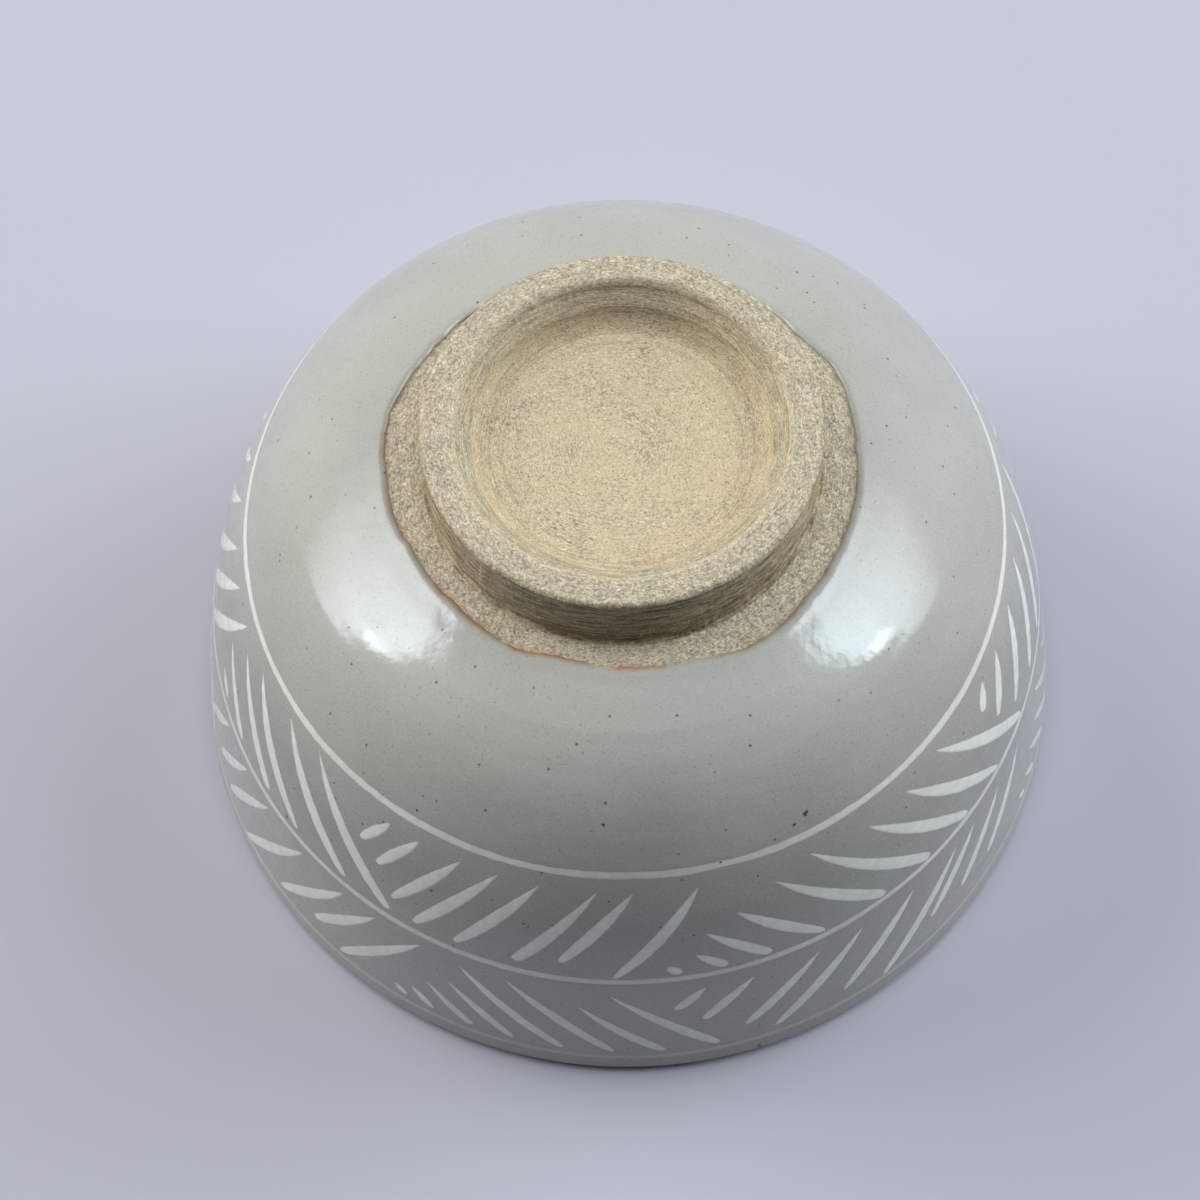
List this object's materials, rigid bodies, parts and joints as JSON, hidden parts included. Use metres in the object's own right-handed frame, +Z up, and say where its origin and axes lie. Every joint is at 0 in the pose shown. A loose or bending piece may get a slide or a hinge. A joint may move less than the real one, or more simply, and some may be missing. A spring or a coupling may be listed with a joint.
{
  "type": "tea bowl",
  "caption": "Round stoneware tea bowl with a bare foot ring, grey glaze and white slip inlaid as lines and rows of slanting strokes.",
  "frame": {"origin": "centre of the rim circle, on the plane that the rim stands on: the bowl is turned over, as pictured", "axes": "+Z up along the bowl's axis, from the rim to the foot; -Y faces the pictured front. To use the bowl, turn it half round about X: it then stands on foot_rest."},
  "size_m": [0.1198, 0.1198, 0.0686],
  "materials": {
    "bare_stoneware": "bare, sandy stoneware, matt",
    "grey_glaze": "glossy translucent grey glaze with small iron specks",
    "white_slip": "white slip under the same gloss"
  },
  "bodies": {
    "root": {"belly_line": "white_slip", "clay_body": "bare_stoneware", "inner_glaze": "grey_glaze", "lower_stroke_01": "white_slip", "lower_stroke_02": "white_slip", "lower_stroke_03": "white_slip", "lower_stroke_04": "white_slip", "lower_stroke_05": "white_slip", "lower_stroke_06": "white_slip", "lower_stroke_07": "white_slip", "lower_stroke_08": "white_slip", "lower_stroke_09": "white_slip", "lower_stroke_10": "white_slip", "lower_stroke_11": "white_slip", "lower_stroke_12": "white_slip", "lower_stroke_13": "white_slip", "lower_stroke_14": "white_slip", "lower_stroke_15": "white_slip", "lower_stroke_16": "white_slip", "lower_stroke_17": "white_slip", "lower_stroke_18": "white_slip", "lower_stroke_19": "white_slip", "lower_stroke_20": "white_slip", "lower_stroke_21": "white_slip", "lower_stroke_22": "white_slip", "lower_stroke_23": "white_slip", "middle_line": "white_slip", "outer_glaze": "grey_glaze", "rim_glaze": "grey_glaze", "rim_line": "white_slip", "upper_stroke_01": "white_slip", "upper_stroke_02": "white_slip", "upper_stroke_03": "white_slip", "upper_stroke_04": "white_slip", "upper_stroke_05": "white_slip", "upper_stroke_06": "white_slip", "upper_stroke_07": "white_slip", "upper_stroke_08": "white_slip", "upper_stroke_09": "white_slip", "upper_stroke_10": "white_slip", "upper_stroke_11": "white_slip", "upper_stroke_12": "white_slip", "upper_stroke_13": "white_slip", "upper_stroke_14": "white_slip", "upper_stroke_15": "white_slip", "upper_stroke_16": "white_slip", "upper_stroke_17": "white_slip", "upper_stroke_18": "white_slip", "upper_stroke_19": "white_slip", "upper_stroke_20": "white_slip", "upper_stroke_21": "white_slip", "upper_stroke_22": "white_slip", "upper_stroke_23": "white_slip", "upper_stroke_24": "white_slip", "upper_stroke_25": "white_slip", "upper_stroke_26": "white_slip", "upper_stroke_27": "white_slip"}
  },
  "joints": []
}
